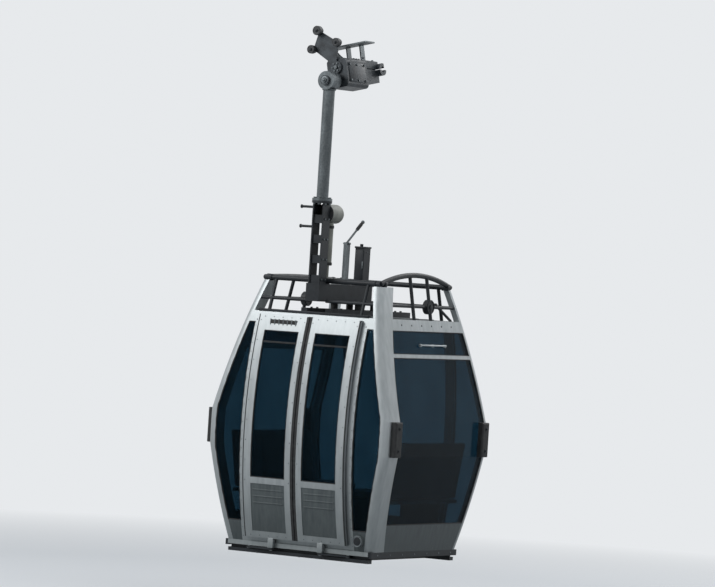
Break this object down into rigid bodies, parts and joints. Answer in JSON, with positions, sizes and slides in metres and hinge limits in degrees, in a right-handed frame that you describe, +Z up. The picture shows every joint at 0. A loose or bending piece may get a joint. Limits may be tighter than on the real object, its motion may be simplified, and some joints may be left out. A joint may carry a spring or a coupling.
{
  "type": "cable car cabin with hanger and rope grip",
  "caption": "Barrel-sided gondola cabin with two swing-out door leaves, facing benches, an offset hanger and a spring grip that clamps on a haul rope.",
  "frame": {"origin": "on the rope's axis, in the middle of the grip's jaws", "axes": "+Z up, +X along the line towards the uphill side, -Y the door side"},
  "size_m": [1.87, 1.711, 4.467],
  "materials": {
    "silver": "satin silver-grey paint",
    "grey_panel": "satin dark grey paint",
    "smoked_pane": "smoke-tinted acrylic glazing",
    "black_rubber": "matt black rubber",
    "black_steel": "dark painted steel",
    "galvanised": "weathered galvanised steel",
    "pale_housing": "pale beige-grey paint",
    "cast_grip": "dark cast steel, greased",
    "wheel_plastic": "dark roller plastic",
    "seat_pad": "dark synthetic leather",
    "floor_tread": "ribbed floor covering on an aluminium pan"
  },
  "bodies": {
    "grip": {"grip_body": "cast_grip", "moving_jaw": "cast_grip", "grip_springs": "galvanised", "coupling_lever": "cast_grip", "traction_plate": "galvanised"},
    "cabin": {"bench_base_left": "grey_panel", "bench_base_right": "grey_panel", "buffers": "black_rubber", "climbing_pegs": "black_steel", "corner_posts": "silver", "door_drive_cover": "silver", "door_jambs": "silver", "door_sill": "silver", "end_pane_left": "smoked_pane", "end_pane_right": "smoked_pane", "end_panels": "grey_panel", "end_transoms": "silver", "end_vents": "smoked_pane", "floor_pan": "floor_tread", "hanger_column": "black_steel", "hanger_foot": "black_steel", "hanger_tube": "galvanised", "header_ends": "silver", "header_sides": "silver", "quarter_panels": "grey_panel", "quarter_panes": "smoked_pane", "rear_mullions": "silver", "rear_pane": "smoked_pane", "rear_panel": "grey_panel", "release_box": "black_steel", "release_lever": "galvanised", "roof_beams": "black_steel", "roof_mid_rails": "black_steel", "roof_mounts": "black_rubber", "roof_panel": "grey_panel", "roof_rail_ends": "black_steel", "roof_rail_sides": "black_steel", "roof_struts": "black_steel", "seat_back_left": "seat_pad", "seat_back_right": "seat_pad", "seat_left": "seat_pad", "seat_right": "seat_pad", "sill_rails": "silver", "skid_bars": "black_steel", "skid_rails": "black_steel", "suspension_head": "pale_housing", "suspension_strut": "pale_housing"},
    "coupling_roller": {"coupling_roller": "wheel_plastic"},
    "guide_roller_lower": {"guide_roller_lower": "wheel_plastic"},
    "guide_roller_upper": {"guide_roller_upper": "wheel_plastic"},
    "door_arm_left": {"door_arm_left": "black_steel"},
    "door_arm_right": {"door_arm_right": "black_steel"},
    "door_leaf_left": {"door_frame_left": "silver", "door_pane_left": "smoked_pane", "door_panel_left": "grey_panel", "door_seal_left": "black_rubber"},
    "door_leaf_right": {"door_frame_right": "silver", "door_pane_right": "smoked_pane", "door_panel_right": "grey_panel", "door_seal_right": "black_rubber"}
  },
  "joints": [
    {"name": "coupling_roller_spin", "type": "hinge", "parent": "grip", "child": "coupling_roller", "pos_m": [-0.185, -0.6, 0.3], "axis": [0, 1, 0], "continuous": true},
    {"name": "guide_roller_lower_spin", "type": "hinge", "parent": "grip", "child": "guide_roller_lower", "pos_m": [-0.235, -0.6, 0.14], "axis": [0, 1, 0], "continuous": true},
    {"name": "guide_roller_upper_spin", "type": "hinge", "parent": "grip", "child": "guide_roller_upper", "pos_m": [0.005, -0.6, 0.208], "axis": [0, 1, 0], "continuous": true},
    {"name": "hanger_swing", "type": "hinge", "parent": "grip", "child": "cabin", "pos_m": [0, -0.66, -0.12], "axis": [0, 1, 0], "range_deg": [-51.5, 28.5]},
    {"name": "door_arm_swing_left", "type": "hinge", "parent": "cabin", "child": "door_arm_left", "pos_m": [-0.4912, -0.6909, -4.06], "axis": [0, 0, 1], "range_deg": [-140, 0]},
    {"name": "door_leaf_follow_left", "type": "hinge", "parent": "door_arm_left", "child": "door_leaf_left", "pos_m": [-0.245, -0.73431, -4], "axis": [0, 0, 1], "range_deg": [0, 140]},
    {"name": "door_arm_swing_right", "type": "hinge", "parent": "cabin", "child": "door_arm_right", "pos_m": [0.4912, -0.6909, -4.06], "axis": [0, 0, 1], "range_deg": [0, 140]},
    {"name": "door_leaf_follow_right", "type": "hinge", "parent": "door_arm_right", "child": "door_leaf_right", "pos_m": [0.245, -0.73431, -4], "axis": [0, 0, 1], "range_deg": [-140, 0]}
  ],
  "couplings": [
    {"joint": "door_leaf_follow_left", "follows": "door_arm_swing_left", "ratio": -1},
    {"joint": "door_leaf_follow_right", "follows": "door_arm_swing_right", "ratio": -1}
  ]
}
